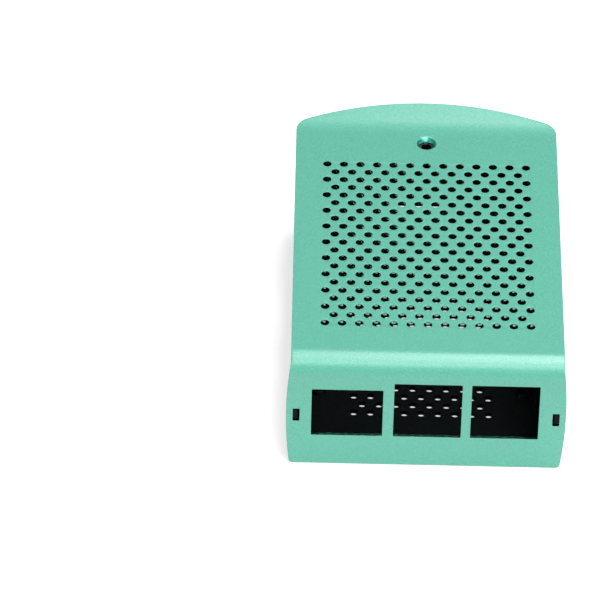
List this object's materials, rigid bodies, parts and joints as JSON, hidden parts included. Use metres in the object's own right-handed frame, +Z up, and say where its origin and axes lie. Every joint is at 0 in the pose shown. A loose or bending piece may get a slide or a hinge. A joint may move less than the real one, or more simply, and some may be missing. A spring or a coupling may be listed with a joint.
{
  "type": "single board computer case",
  "caption": "Folded two-part sheet case for a credit-card-size computer board: perforated cover with port windows over a perforated base.",
  "frame": {"origin": "centre of the case's overall footprint, on the floor's underside", "axes": "+X to the right as one faces the port windows, +Y from the port windows to the rear lip, +Z up"},
  "size_m": [0.0652, 0.0966, 0.0334],
  "materials": {
    "cover_finish": "green anodised over a fine blasted grain",
    "base_finish": "black anodised over a fine blasted grain",
    "nut_metal": "zinc plated, plain turned"
  },
  "bodies": {
    "case_base": {"base": "base_finish", "cover_nut": "nut_metal"},
    "case_cover": {"cover": "cover_finish"}
  },
  "joints": [
    {"name": "cover_slide", "type": "slide", "parent": "case_base", "child": "case_cover", "axis": [0, -1, 0], "range_m": [0, 0.1]}
  ]
}
